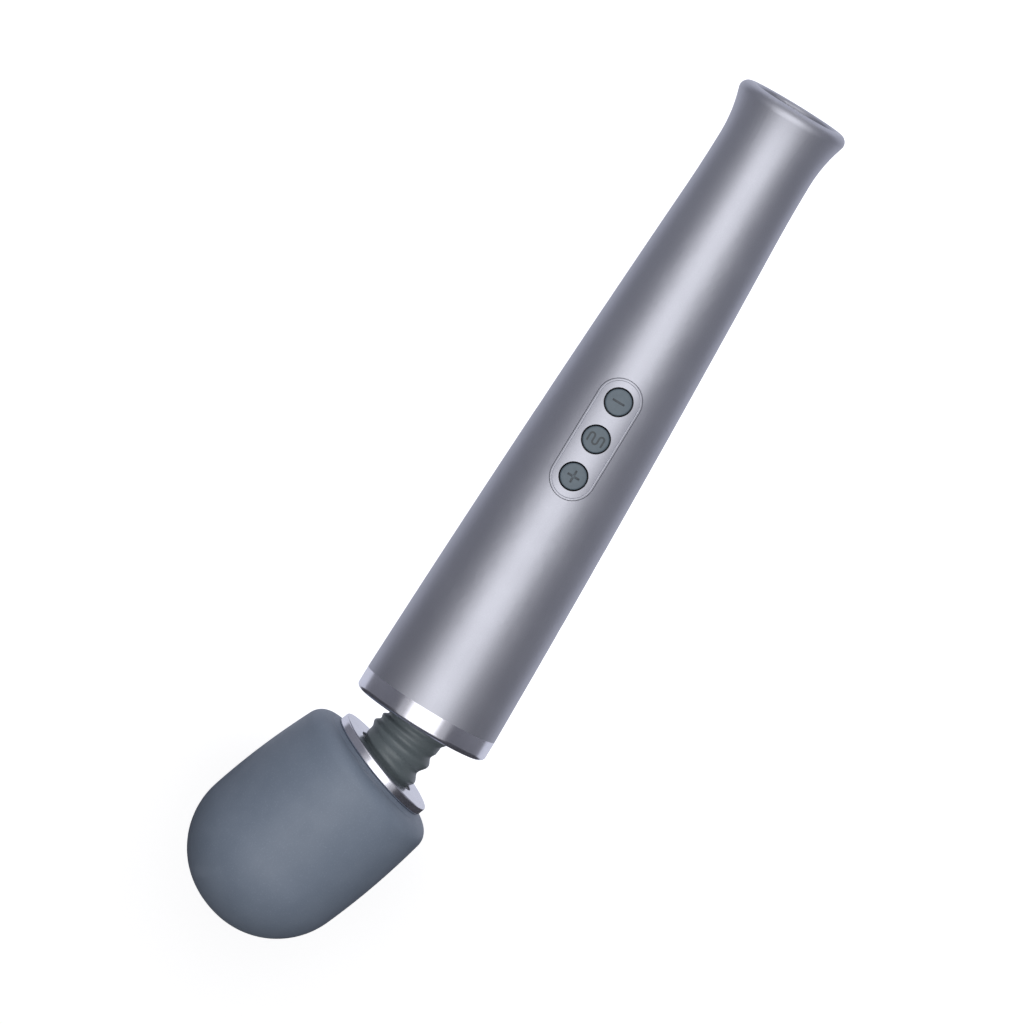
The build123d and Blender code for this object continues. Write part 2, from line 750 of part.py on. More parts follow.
# ---- Silicone cushion over the whole head ---------------------------------------------------
with BuildPart() as head_cushion:
    with BuildSketch(head_side):
        with BuildLine():
            heel, flank = head_rear(0)
            shoulder, tip = head_front(0)
            inner_heel, inner_flank = head_rear(skin)
            inner_shoulder, inner_tip = head_front(skin)
            Line(tip @ 1, inner_tip @ 1)
            mouth = (collar_depth + 0.05, collar_r - 0.2)
            Polyline(
                heel @ 0,
                mouth,
                (mouth[0], pod_neck_r + fit_gap),
                (heel_start + skin, pod_neck_r + fit_gap),
                inner_heel @ 0,
            )
        make_face()
    revolve(axis=head_axis)
finished(head_cushion, "head_cushion")

# ---- Motor pod: a cup and a dome that meet in a lapped joint at the widest place ------------
lap = 2.0
lap_r = belly_r - pod_inset - pod_wall / 2
seat_inner_r = 17.0
seat_outer_r = 18.6
rear_seat_end = 29.0
front_seat_start, front_seat_end = 51.2, 54.4
pod_inner = pod_inset + pod_wall
boss_r = 2.4
screw_head_depth = 1.6

with BuildPart() as motor_pod_cup:
    with BuildSketch(head_side):
        with BuildLine():
            heel, flank = head_rear(pod_inset)
            inner_heel, inner_flank = head_rear(pod_inner)
            Polyline(
                heel @ 0,
                (pod_base_rear, pod_neck_r),
                (collar_depth + 0.05, pod_neck_r),
                (collar_depth + 0.05, pod_spigot_r),
                (collar_face + 0.1, pod_spigot_r),
                (collar_face + 0.1, anchor_r + fit_gap),
                (pod_base_front, anchor_r + fit_gap),
                inner_heel @ 0,
            )
            Polyline(
                flank @ 1,
                (belly, lap_r),
                (belly + lap, lap_r),
                (belly + lap, belly_r - pod_inner),
                inner_flank @ 1,
            )
        make_face()
    revolve(axis=head_axis)
    ring(seat_outer_r, seat_inner_r, pod_base_front, rear_seat_end, cross=head_cross)
    rods(boss_r, boss_circle_r, boss_count, pod_base_front - 1, belly, head_cross, 45)
    rods(1.3, boss_circle_r, boss_count, pod_base_rear, belly, head_cross, 45, Mode.SUBTRACT)
    rods(2.3, boss_circle_r, boss_count, pod_base_rear, pod_base_rear + screw_head_depth,
         head_cross, 45, Mode.SUBTRACT)
finished(motor_pod_cup, "motor_pod_cup")

with BuildPart() as motor_pod_dome:
    with BuildSketch(head_side):
        with BuildLine():
            shoulder, tip = head_front(pod_inset)
            inner_shoulder, inner_tip = head_front(pod_inner)
            Line(shoulder @ 0, inner_shoulder @ 0)
            Line(tip @ 1, inner_tip @ 1)
        make_face()
    revolve(axis=head_axis)
    ring(lap_r + fit_gap, 0, belly, belly + lap + fit_gap, cross=head_cross, mode=Mode.SUBTRACT)
    ring(belly_r - pod_inner + 0.9, seat_inner_r, front_seat_start, front_seat_end,
         cross=head_cross)
    rods(boss_r, boss_circle_r, boss_count, belly + lap + fit_gap, front_seat_start,
         head_cross, 45)
    rods(1.0, boss_circle_r, boss_count, belly, belly + 10, head_cross, 45, Mode.SUBTRACT)
finished(motor_pod_dome, "motor_pod_dome")

with BuildPart() as pod_screws:
    rods(2.1, boss_circle_r, boss_count, pod_base_rear + 0.1, pod_base_rear + screw_head_depth,
         head_cross, 45)
    rods(1.0, boss_circle_r, boss_count, pod_base_rear + screw_head_depth, belly + 9,
         head_cross, 45)
    for turned in (0, 90):
        with BuildSketch(head_cross.offset(pod_base_rear + 0.1)):
            with PolarLocations(boss_circle_r, boss_count, start_angle=45):
                Rectangle(2.6, 0.5, rotation=turned)
        extrude(amount=0.7, mode=Mode.SUBTRACT)
finished(pod_screws, "pod_screws")

# ---- Motor: can, end bell, magnets, bearings, brushes, terminals ----------------------------
can_wall = 1.0
magnet_outer_r = can_r - can_wall - 0.05
magnet_inner_r = 9.9
front_boss_end = 57.0
bearing_r = 3.2
running_gap = 0.03

with BuildPart() as motor_can:
    ring(can_r, 0, can_rear, can_front, cross=head_cross)
    rim_edges = motor_can.edges().filter_by(GeomType.CIRCLE).sort_by(head_axis)
    fillet(rim_edges[-1], 1.2)
    ring(4.8, 0, can_front, front_boss_end, cross=head_cross)
    ring(can_r - can_wall, 0, can_rear, can_front - can_wall, cross=head_cross,
         mode=Mode.SUBTRACT)
    ring(bearing_r, 0, can_front - can_wall, front_boss_end, cross=head_cross,
         mode=Mode.SUBTRACT)
    rods(1.4, 9.0, 2, can_front - can_wall, can_front, head_cross, 0, Mode.SUBTRACT)
finished(motor_can, "motor_can")

bell_rear = 20.0
bell_boss_rear = 18.6
bell_bearing = (19.2, 23.6)
brush_span = (26.0, 28.4)
commutator_r = 3.0
terminal_z = 6.0
with BuildPart() as motor_end_bell:
    ring(12.6, 0, bell_rear, can_rear - 1.5, cross=head_cross)
    ring(can_r - 0.2, 0, can_rear - 1.5, can_rear, cross=head_cross)
    ring(can_r - can_wall - 0.05, 11.4, can_rear, can_rear + 3, cross=head_cross)
    ring(4.8, 0, bell_boss_rear, bell_rear, cross=head_cross)
    ring(bearing_r, 0, bell_bearing[0], can_rear, cross=head_cross, mode=Mode.SUBTRACT)
    ring(2.0, 0, bell_boss_rear, can_rear, cross=head_cross, mode=Mode.SUBTRACT)
    for side in (-1, 1):
        with BuildSketch(head_cross.offset(can_rear)):
            with Locations((side * 7.6, 0)):
                Rectangle(5.2, 3.4)
        extrude(amount=brush_span[1] + 0.6 - can_rear)
        with BuildSketch(head_cross.offset(brush_span[0])):
            with Locations((side * 7.6, 0)):
                Rectangle(6, 2.4)
        extrude(amount=brush_span[1] - brush_span[0], mode=Mode.SUBTRACT)
        with BuildSketch(head_cross.offset(bell_rear)):
            with Locations((0, side * terminal_z)):
                Rectangle(2.4, 0.6)
        extrude(amount=can_rear - bell_rear, mode=Mode.SUBTRACT)
finished(motor_end_bell, "motor_end_bell")

with BuildPart() as motor_brushes:
    for side in (-1, 1):
        with BuildSketch(head_cross.offset(brush_span[0])):
            with Locations((side * 6.2, 0)):
                Rectangle(5.8, 2.3)
        extrude(amount=brush_span[1] - brush_span[0])
    ring(commutator_r + 0.1, 0, brush_span[0], brush_span[1], cross=head_cross,
         mode=Mode.SUBTRACT)
finished(motor_brushes, "motor_brushes")

with BuildPart() as motor_terminals:
    for side in (-1, 1):
        with BuildSketch(head_cross.offset(bell_rear - 3)):
            with Locations((0, side * terminal_z)):
                Rectangle(2.3, 0.5)
        extrude(amount=can_rear - bell_rear + 3)
finished(motor_terminals, "motor_terminals")

with BuildPart() as motor_magnets:
    ring(magnet_outer_r, magnet_inner_r, 31.0, 49.5, cross=head_cross)
    with BuildSketch(head_cross.offset(31.0)):
        Rectangle(11, 40)
    extrude(amount=18.5, mode=Mode.SUBTRACT)
finished(motor_magnets, "motor_magnets")

with BuildPart() as bearing_front:
    ring(bearing_r, shaft_r + running_gap, can_front - can_wall, front_boss_end,
         cross=head_cross)
finished(bearing_front, "bearing_front")

with BuildPart() as bearing_rear:
    ring(bearing_r, shaft_r + running_gap, bell_bearing[0], bell_bearing[1], cross=head_cross)
finished(bearing_rear, "bearing_rear")

# ---- Rubber mounts between the motor and the pod's seats ------------------------------------
rubber_outer_r = seat_inner_r - 0.05
rubber_inner_r = can_r + 0.05
with BuildPart() as rubber_mount_rear:
    ring(rubber_outer_r, rubber_inner_r, can_rear - 1.4, rear_seat_end, cross=head_cross)
    ring(rubber_outer_r, 12.7, can_rear - 3.2, can_rear - 1.6, cross=head_cross)
    ring(rubber_outer_r, rubber_inner_r, can_rear - 1.6, can_rear - 1.4, cross=head_cross)
    ring(rubber_outer_r + 1.6, rubber_outer_r, rear_seat_end, rear_seat_end + 1.4,
         cross=head_cross)
    ring(rubber_outer_r, rubber_inner_r, rear_seat_end, rear_seat_end + 1.4, cross=head_cross)
finished(rubber_mount_rear, "rubber_mount_rear")

with BuildPart() as rubber_mount_front:
    ring(rubber_outer_r, rubber_inner_r, front_seat_start - 1.4, can_front, cross=head_cross)
    ring(rubber_outer_r, 11.8, can_front + 0.02, front_seat_end + 1.0, cross=head_cross)
    ring(rubber_outer_r, rubber_inner_r, can_front - 0.5, can_front + 0.5, cross=head_cross)
    ring(seat_outer_r, rubber_outer_r - 0.5, front_seat_start - 1.4, front_seat_start,
         cross=head_cross)
finished(rubber_mount_front, "rubber_mount_front")

with BuildPart() as head_leads:
    for side in (-1, 1):
        route = [(0, lead_spread), (flange_front + 0.4, lead_spread),
                 (bell_rear - 4.4, terminal_z), (bell_rear - 3, terminal_z)]
        wire([collar_point + head_dir * along + upward * side * out
              for along, out in route], lead_r, 0.9)
finished(head_leads, "head_leads")

# ---- Rotor: shaft, armature, commutator and the weight that makes the vibration -------------
shaft_rear, shaft_front = 19.4, 67.6
weight_start, weight_end = 58.6, 66.6
weight_r = 11.0
hub_r = 4.2

with BuildPart() as motor_shaft:
    ring(shaft_r, 0, shaft_rear, shaft_front, cross=head_cross)
    shaft_ends = motor_shaft.edges().filter_by(GeomType.CIRCLE)
    chamfer(shaft_ends, 0.25)
finished(motor_shaft, "motor_shaft")

core_r = 9.2
core_start, core_end = 32.0, 48.0
slot_circle_r = 5.9
slot_r = 2.4
poles = 3
with BuildPart() as armature_core:
    ring(core_r, shaft_r, core_start, core_end, cross=head_cross)
    with BuildSketch(head_cross.offset(core_start)):
        with PolarLocations(slot_circle_r, poles):
            Circle(slot_r)
        with PolarLocations(core_r - 1, poles):
            Rectangle(4, 1.5)
    extrude(amount=core_end - core_start, mode=Mode.SUBTRACT)
finished(armature_core, "armature_core")

with BuildPart() as armature_windings:
    rods(slot_r - 0.05, slot_circle_r, poles, core_start - 0.5, core_end + 0.5, head_cross)
    for start, end in ((core_start - 2.2, core_start - 0.02), (core_end + 0.02, core_end + 2.2)):
        ring(slot_circle_r + slot_r - 0.1, 2.6, start, end, cross=head_cross)
finished(armature_windings, "armature_windings")

with BuildPart() as commutator:
    ring(commutator_r, shaft_r, 24.6, core_start - 2.3, cross=head_cross)
    with BuildSketch(head_cross.offset(24.6)):
        with PolarLocations(commutator_r, poles):
            Rectangle(1.2, 0.35)
    extrude(amount=4.2, mode=Mode.SUBTRACT)
finished(commutator, "commutator")

weight_middle = collar_point + head_dir * (weight_start + weight_end) / 2
screw_cross = Plane(weight_middle, x_dir=head_dir, z_dir=upward)

with BuildPart() as eccentric_weight:
    with BuildSketch(head_cross.offset(weight_start)):
        Circle(weight_r)
        with Locations((0, weight_r)):
            Rectangle(3 * weight_r, 2 * weight_r, mode=Mode.SUBTRACT)
        Circle(hub_r)
        Circle(shaft_r, mode=Mode.SUBTRACT)
    extrude(amount=weight_end - weight_start)
    with BuildSketch(screw_cross.offset(shaft_r)):
        Circle(1.2)
    extrude(amount=hub_r, mode=Mode.SUBTRACT)
finished(eccentric_weight, "eccentric_weight")

with BuildPart() as weight_screw:
    with BuildSketch(screw_cross.offset(shaft_r + 0.05)):
        Circle(1.15)
    extrude(amount=hub_r - shaft_r - 0.5)
    with BuildSketch(screw_cross.offset(hub_r - 1.0)):
        RegularPolygon(0.6, 6)
    extrude(amount=2, mode=Mode.SUBTRACT)
finished(weight_screw, "weight_screw")
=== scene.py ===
import json
from math import cos, pi, radians, sin

import bmesh
import bpy
from mathutils import Matrix, Vector


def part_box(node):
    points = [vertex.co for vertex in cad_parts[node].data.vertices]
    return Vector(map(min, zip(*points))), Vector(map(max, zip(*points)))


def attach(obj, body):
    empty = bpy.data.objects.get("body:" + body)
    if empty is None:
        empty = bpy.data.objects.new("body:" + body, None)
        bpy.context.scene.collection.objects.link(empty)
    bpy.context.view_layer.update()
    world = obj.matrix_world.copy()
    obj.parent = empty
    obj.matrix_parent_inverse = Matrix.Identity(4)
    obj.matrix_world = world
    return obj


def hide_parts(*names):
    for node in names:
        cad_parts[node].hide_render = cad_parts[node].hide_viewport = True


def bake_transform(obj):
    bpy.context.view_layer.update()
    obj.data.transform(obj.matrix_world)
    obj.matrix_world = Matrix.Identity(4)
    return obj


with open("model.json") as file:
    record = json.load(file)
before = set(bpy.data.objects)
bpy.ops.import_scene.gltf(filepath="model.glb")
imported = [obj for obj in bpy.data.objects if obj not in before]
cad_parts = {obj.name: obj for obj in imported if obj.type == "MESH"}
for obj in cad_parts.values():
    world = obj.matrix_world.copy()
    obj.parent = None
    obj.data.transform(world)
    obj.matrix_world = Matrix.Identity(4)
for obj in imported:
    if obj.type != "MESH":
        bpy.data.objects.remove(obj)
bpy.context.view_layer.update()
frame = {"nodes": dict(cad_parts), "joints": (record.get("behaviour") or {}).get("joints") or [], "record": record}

# Cordless wand massager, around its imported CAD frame. Metres, in the CAD's frame: +X along the
# handle from the flared tail to the head, +Z out of the button face.

mm = 0.001
scene = bpy.context.scene
scene.view_settings.view_transform = "Standard"

# ---- Places read from the frame -------------------------------------------------------------
joints = {joint["name"]: joint for joint in frame["joints"]}
low_hinge, mid_hinge, high_hinge = (
    Vector(joints[name]["pos_m"]) for name in ("neck_swing", "neck_nod", "neck_swing_upper")
)
upward = Vector(joints["neck_swing"]["axis"])         # square to the plane of the neck's bend
forward = Vector((1, 0, 0))
sideways = upward.cross(forward)                      # the neck bends away from this direction
face_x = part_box("front_band")[1].x                    # front face of the handle's band
head_dir = Vector(joints["motor_spin"]["axis"])
neck_turn = forward.angle(head_dir)
neck_length = 16.8 * mm
neck_radius = neck_length / neck_turn
neck_centre = forward * face_x - sideways * neck_radius


# ---- Procedural materials -------------------------------------------------------------------
class Finish:
    """A Principled material whose colour, roughness and relief come from noise and waves."""

    def __init__(self, name, roughness, **constants):
        self.material = bpy.data.materials.new(name)
        self.material.use_nodes = True
        self.tree = self.material.node_tree
        self.shader = self.tree.nodes["Principled BSDF"]
        for key, value in constants.items():
            self.shader.inputs[key.replace("_", " ").title()].default_value = value
        self.shader.inputs["Roughness"].default_value = roughness
        self.roughness = roughness
        self.place = self.node("ShaderNodeTexCoord").outputs["Object"]
        self.colour = None
        self.relief = None

    def node(self, kind, **inputs):
        """A node with constant or linked inputs, given by name."""
        made = self.tree.nodes.new(kind)
        for key, value in inputs.items():
            self.feed(made.inputs[key.replace("_", " ")], value)
        return made

    def feed(self, socket, value):
        if isinstance(value, bpy.types.NodeSocket):
            self.tree.links.new(value, socket)
        else:
            socket.default_value = value

    def turned(self, axis):
        """Measures the patterns along and around an axis from here on."""
        rotation = Vector(axis).rotation_difference(forward).to_euler()
        place = self.node("ShaderNodeMapping", Vector=self.place)
        place.inputs["Rotation"].default_value = rotation
        self.place = place.outputs["Vector"]
        return self

    def noise(self, size, detail=3.0, stretch=(1, 1, 1)):
        """Noise of a feature size in metres, optionally stretched along an axis."""
        scaled = self.node("ShaderNodeMapping", Vector=self.place)
        scaled.inputs["Scale"].default_value = [1 / part for part in stretch]
        made = self.node("ShaderNodeTexNoise", Vector=scaled.outputs["Vector"])
        made.inputs["Scale"].default_value = 1 / size
        made.inputs["Detail"].default_value = detail
        return made.outputs["Fac"]

    def lines(self, pitch, distortion=0.4, direction="X"):
        """Fine lines a pitch apart, square to a direction."""
        made = self.node("ShaderNodeTexWave", Vector=self.place)
        made.bands_direction = direction
        made.inputs["Scale"].default_value = 2 * pi / (20 * pitch)
        made.inputs["Distortion"].default_value = distortion
        made.inputs["Detail Scale"].default_value = 3.0
        return made.outputs["Fac"]

    def cells(self, size):
        """Distance from the nearest of many scattered points."""
        made = self.node("ShaderNodeTexVoronoi", Vector=self.place)
        made.inputs["Scale"].default_value = 1 / size
        return made.outputs["Distance"]

    def tones(self, factor, dark, light, low=0.3, high=0.7):
        """Runs the colour between two tones."""
        ramp = self.node("ShaderNodeValToRGB", Fac=factor)
        for element, place, tone in zip(ramp.color_ramp.elements, (low, high), (dark, light)):
            element.position = place
            element.color = (*tone, 1)
        self.colour = ramp.outputs["Color"]
        return self

    def tinted(self, factor, tone, low, high, strength=1.0):
        """Lays another tone over the colour where the factor is between low and high."""
        amount = self.node("ShaderNodeMapRange", Value=factor)
        amount.inputs["From Min"].default_value = low
        amount.inputs["From Max"].default_value = high
        amount.inputs["To Max"].default_value = strength
        mix = self.node("ShaderNodeMixRGB", Fac=amount.outputs["Result"], Color1=self.colour,
                        Color2=(*tone, 1))
        self.colour = mix.outputs["Color"]
        return self

    def worn(self, factor, swing):
        """Lets the roughness swing about its mean."""
        value = self.node("ShaderNodeMapRange", Value=factor)
        value.inputs["From Min"].default_value = 0.3
        value.inputs["From Max"].default_value = 0.7
        value.inputs["To Min"].default_value = self.roughness - swing
        value.inputs["To Max"].default_value = self.roughness + swing
        self.feed(self.shader.inputs["Roughness"], value.outputs["Result"])
        return self

    def raised(self, factor, depth):
        """Adds relief of a depth in metres."""
        bump = self.node("ShaderNodeBump", Height=factor)
        bump.inputs["Distance"].default_value = depth
        if self.relief:
            self.feed(bump.inputs["Normal"], self.relief)
        self.relief = bump.outputs["Normal"]
        return self

    def crevice_shade(self, reach):
        """1 in the open, falling to 0 in grooves and corners, where shade falls."""
        shade = self.node("ShaderNodeAmbientOcclusion")
        shade.inputs["Distance"].default_value = reach
        shade.samples = 8
        return shade.outputs["AO"]

    def made(self):
        """Connects what was added and returns the material."""
        self.feed(self.shader.inputs["Base Color"], self.colour)
        if self.relief:
            self.feed(self.shader.inputs["Normal"], self.relief)
        return self.material


def satin_silver():
    """Sprayed and lacquered metallic finish: fine flakes under a soft gloss."""
    finish = Finish("satin_silver", 0.50, metallic=1.0)
    finish.tones(finish.noise(0.25 * mm, 2), (0.50, 0.505, 0.555), (0.55, 0.555, 0.61))
    finish.tinted(finish.noise(28 * mm, 2), (0.58, 0.585, 0.635), 0.45, 0.75, 0.35)
    finish.worn(finish.noise(14 * mm, 4), 0.02)
    finish.raised(finish.noise(0.35 * mm, 2), 0.0012 * mm)
    finish.raised(finish.noise(2.2 * mm, 2), 0.002 * mm)
    return finish.made()


def polished_metal(name, axis):
    """Polished plating with faint turning lines and handling haze."""
    finish = Finish(name, 0.21, metallic=1.0).turned(axis)
    finish.tones(finish.noise(6 * mm, 4), (0.735, 0.73, 0.79), (0.79, 0.785, 0.845))
    finish.worn(finish.noise(4 * mm, 5), 0.02)
    finish.raised(finish.lines(0.22 * mm, 0.6), 0.0004 * mm)
    return finish.made()


def silicone(name, dark, light, roughness, speck, depth):
    """Soft-touch silicone: fine moulded grain, a faint bloom and a few specks of dust."""
    finish = Finish(name, roughness)
    finish.shader.inputs["Specular IOR Level"].default_value = 0.5
    finish.tones(finish.noise(9 * mm, 5), dark, light)
    finish.tinted(finish.noise(0.5 * mm, 2), [part * 1.35 for part in light], 0.55, 0.8, 0.5)
    finish.worn(finish.noise(5 * mm, 4), 0.035)
    finish.raised(finish.noise(speck, 3), depth)
    return finish.made()


def button_slate():
    """Satin rubber buttons, with painted shade darkening their engraved signs and other grooves and corners."""
    finish = Finish("button_slate", 0.36)
    finish.tones(finish.noise(1.2 * mm, 4), (0.110, 0.145, 0.172), (0.125, 0.163, 0.192))
    # Painted shade: the colour darkens where nearby surfaces close in, in the engraved signs and other grooves and
    # corners.
    finish.tinted(finish.crevice_shade(0.9 * mm), (0.022, 0.030, 0.040), 0.90, 0.62)
    finish.worn(finish.noise(2 * mm, 3), 0.04)
    finish.raised(finish.noise(0.12 * mm, 2), 0.002 * mm)
    return finish.made()


def plastic(name, tone, roughness=0.45, grain=0.25 * mm, depth=0.004 * mm):
    """Moulded plastic with spark-eroded grain and slight flow marks."""
    finish = Finish(name, roughness)
    dark, light = [part * 0.86 for part in tone], [part * 1.12 for part in tone]
    finish.tones(finish.noise(6 * mm, 4), dark, light)
    finish.worn(finish.noise(3 * mm, 4), 0.06)
    finish.raised(finish.noise(grain, 3), depth)
    return finish.made()


def rubber(name, tone):
    """Black rubber with a dusty bloom."""
    finish = Finish(name, 0.6)
    finish.tones(finish.noise(1.5 * mm, 5), tone, [part * 1.8 + 0.006 for part in tone], 0.35, 0.75)
    finish.worn(finish.noise(1 * mm, 3), 0.08)
    finish.raised(finish.noise(0.18 * mm, 3), 0.005 * mm)
    return finish.made()


def metal(name, tone, roughness, pitch, axis=(1, 0, 0), haze=None):
    """Bare or plated metal with tool lines and a hazy tarnish."""
    finish = Finish(name, roughness, metallic=1.0).turned(axis)
    dull = haze or [part * 0.8 for part in tone]
    finish.tones(finish.noise(2.5 * mm, 5), dull, tone, 0.25, 0.6)
    finish.worn(finish.noise(1.2 * mm, 4), min(0.08, roughness * 0.4))
    finish.raised(finish.lines(pitch, 1.2), 0.003 * mm)
    return finish.made()


def board_green():
    """Solder resist over copper tracks, with tinned pads."""
    finish = Finish("board_green", 0.3, coat_weight=0.4)
    finish.tones(finish.noise(7 * mm, 3), (0.010, 0.085, 0.035), (0.016, 0.125, 0.050))
    tracks = finish.lines(1.7 * mm, 9.0, "Y")
    finish.tinted(tracks, (0.03, 0.19, 0.075), 0.62, 0.7, 0.8)
    finish.tinted(finish.cells(3.1 * mm), (0.55, 0.52, 0.42), 0.17, 0.14)
    finish.raised(tracks, 0.02 * mm)
    return finish.made()


def battery_wrap():
    """Shrink sleeve with fine wrinkles."""
    finish = Finish("battery_wrap", 0.28, coat_weight=0.3)
    finish.tones(finish.noise(8 * mm, 4), (0.018, 0.105, 0.27), (0.028, 0.145, 0.34))
    finish.worn(finish.noise(4 * mm, 3), 0.06)
    finish.raised(finish.noise(2.5 * mm, 3, (1, 4, 4)), 0.05 * mm)
    return finish.made()


def copper_wire():
    """Enamelled copper wire laid in turns, with painted shade in the grooves between them."""
    finish = Finish("copper", 0.3, metallic=1.0).turned(head_dir)
    turns = finish.lines(0.4 * mm, 0.8)
    # Painted shade: the copper is darker where the relief of the turns is lowest, in the grooves between them.
    finish.tones(turns, (0.30, 0.09, 0.03), (0.78, 0.33, 0.15), 0.1, 0.6)
    finish.raised(turns, 0.08 * mm)
    return finish.made()


def wire_insulation():
    """Soft insulation with a drawn grain and faint scuffs."""
    finish = Finish("wire_insulation", 0.42)
    finish.tones(finish.noise(3 * mm, 4), (0.36, 0.025, 0.02), (0.50, 0.05, 0.035))
    finish.tinted(finish.noise(0.6 * mm, 3), (0.58, 0.16, 0.12), 0.6, 0.8, 0.5)
    finish.raised(finish.noise(0.3 * mm, 2, (6, 1, 1)), 0.006 * mm)
    return finish.made()


materials = {
    "satin_silver": satin_silver(),
    "polished_metal": polished_metal("polished_metal", forward),
    "head_silicone": silicone("head_silicone", (0.180, 0.218, 0.278), (0.199, 0.238, 0.300), 0.50,
                              0.22 * mm, 0.0035 * mm),
    "neck_silicone": silicone("neck_silicone", (0.115, 0.138, 0.145), (0.130, 0.155, 0.162), 0.36,
                              0.20 * mm, 0.002 * mm),
    "button_slate": button_slate(),
    "black_plastic": plastic("black_plastic", (0.022, 0.022, 0.025)),
    "grey_plastic": plastic("grey_plastic", (0.30, 0.31, 0.33), 0.5),
    "switch_plunger": plastic("switch_plunger", (0.035, 0.035, 0.037), 0.35, 0.12 * mm, 0.002 * mm),
    "seal_rubber": rubber("seal_rubber", (0.014, 0.014, 0.015)),
    "board_green": board_green(),
    "chip_black": plastic("chip_black", (0.018, 0.018, 0.020), 0.5, 0.08 * mm, 0.003 * mm),
    "capacitor_can": metal("capacitor_can", (0.78, 0.78, 0.80), 0.28, 0.15 * mm, (0, 0, 1)),
    "battery_wrap": battery_wrap(),
    "nickel": metal("nickel", (0.66, 0.63, 0.57), 0.32, 0.12 * mm, (0, 1, 0)),
    "steel": metal("steel", (0.60, 0.61, 0.62), 0.30, 0.18 * mm, head_dir),
    "spring_steel": metal("spring_steel", (0.46, 0.47, 0.49), 0.32, 0.10 * mm, upward),
    "anchor_aluminium": metal("anchor_aluminium", (0.74, 0.75, 0.77), 0.34, 0.16 * mm, forward),
    "brass": metal("brass", (0.78, 0.58, 0.26), 0.27, 0.14 * mm, head_dir),
    "bronze": metal("bronze", (0.52, 0.33, 0.17), 0.45, 0.10 * mm, head_dir),
    "copper": copper_wire(),
    "magnet": plastic("magnet", (0.045, 0.045, 0.048), 0.42, 0.10 * mm, 0.008 * mm),
    "carbon_brush": plastic("carbon_brush", (0.030, 0.030, 0.031), 0.55, 0.08 * mm, 0.006 * mm),
    "wire_insulation": wire_insulation(),
}


def paint(piece, material):
    """Gives a piece one material all over."""
    piece.data.materials.clear()
    piece.data.materials.append(material)


for subpart in frame["record"]["subparts"]:
    paint(frame["nodes"][subpart["node"]], materials[subpart["material_slot"]])
paint(frame["nodes"]["head_collar"], polished_metal("polished_collar", head_dir))


# ---- Neck: boot, spring and leads, each in three lengths, one around each hinge --------------
def neck_place(distance):
    """The point of the neck's centre line at a distance from the handle, and its direction."""
    angle = distance / neck_radius
    point = neck_centre + (forward * sin(angle) + sideways * cos(angle)) * neck_radius
    return point, forward * cos(angle) - sideways * sin(angle)


def neck_point(distance, turn, radius, bulge=0.0):
    """A point around the centre line. The turn starts at the inside of the bend."""
    point, direction = neck_place(distance)
    inside = direction.cross(upward)
    return point + inside * (radius * cos(turn) + bulge) + upward * radius * sin(turn)


def distance_at(point):
    """How far along the neck's centre line a hinge is."""
    away = point - neck_centre
    return neck_radius * (pi / 2 - away.angle(forward))


def skin_over(name, rings, looped=False):
    """A mesh through rings of points, closed into a loop or with a cap at both ends."""
    sides = len(rings[0])
    points = [tuple(point) for ring in rings for point in ring]
    faces = []
    for row in range(len(rings) if looped else len(rings) - 1):
        here, there = row * sides, (row + 1) % len(rings) * sides
        for side in range(sides):
            after = (side + 1) % sides
            faces.append((here + side, here + after, there + after, there + side))
    if not looped:
        faces.append(tuple(reversed(range(sides))))
        faces.append(tuple(range(len(points) - sides, len(points))))
    mesh = bpy.data.meshes.new(name)
    mesh.from_pydata(points, [], faces)
    mesh.validate()
    mesh.shade_smooth()
    return mesh


def joined(name, meshes, material):
    """One piece of several meshes, with outward faces."""
    whole = bmesh.new()
    for mesh in meshes:
        whole.from_mesh(mesh)
    bmesh.ops.recalc_face_normals(whole, faces=whole.faces)
    data = bpy.data.meshes.new(name)
    whole.to_mesh(data)
    whole.free()
    data.shade_smooth()
    piece = bpy.data.objects.new(name, data)
    scene.collection.objects.link(piece)
    paint(piece, material)
    return piece


hinge_distances = [distance_at(point) for point in (low_hinge, mid_hinge, high_hinge)]
seams = [(a + b) / 2 for a, b in zip(hinge_distances, hinge_distances[1:])]
seam_margin = 0.7 * mm          # margin inside each end of a length
boot_overrun = 1.9 * mm         # the boot's ends run on into the band and the collar
neck_lengths = list(zip([-boot_overrun, *seams], [*seams, neck_length + boot_overrun]))


def bent(piece, index, node):
    """Bakes a length of the neck into place and hides the CAD node that it stands in for."""
    start, end = neck_lengths[index]
    start, end = max(start, 0) + seam_margin, min(end, neck_length) - seam_margin
    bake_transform(piece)
    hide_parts(node)


# distance along the neck, outer radius and bulge towards the inside of the bend, in mm
boot_waves = [
    (-1.9, 10.2, 0.0),
    (0.2, 10.9, 0.0),
    (1.3, 11.1, -0.4),
    (2.9, 10.45, 0.1),
    (4.7, 11.15, 0.85),
    (6.6, 10.6, 1.0),
    (9.0, 11.9, 0.95),
    (12.2, 10.75, 1.1),
    (14.9, 11.65, 0.1),
    (16.9, 10.9, 0.0),
    (18.7, 10.2, 0.0),
]
boot_inner_r = 9.0 * mm
boot_step = 0.18 * mm
boot_sides = 120
boot_inner_skip = 6             # the bore has one ring for this many of the outside


def boot_section(distance):
    """The boot's outer radius and bulge at a distance, eased between crests and valleys."""
    rows = [(row[0] * mm, row[1] * mm, row[2] * mm) for row in boot_waves]
    pair = next(pair for pair in zip(rows, rows[1:]) if distance <= pair[1][0] + 1e-6)
    (start, start_r, start_bulge), (end, end_r, end_bulge) = pair
    share = (1 - cos(pi * (distance - start) / (end - start))) / 2
    return start_r + (end_r - start_r) * share, start_bulge + (end_bulge - start_bulge) * share


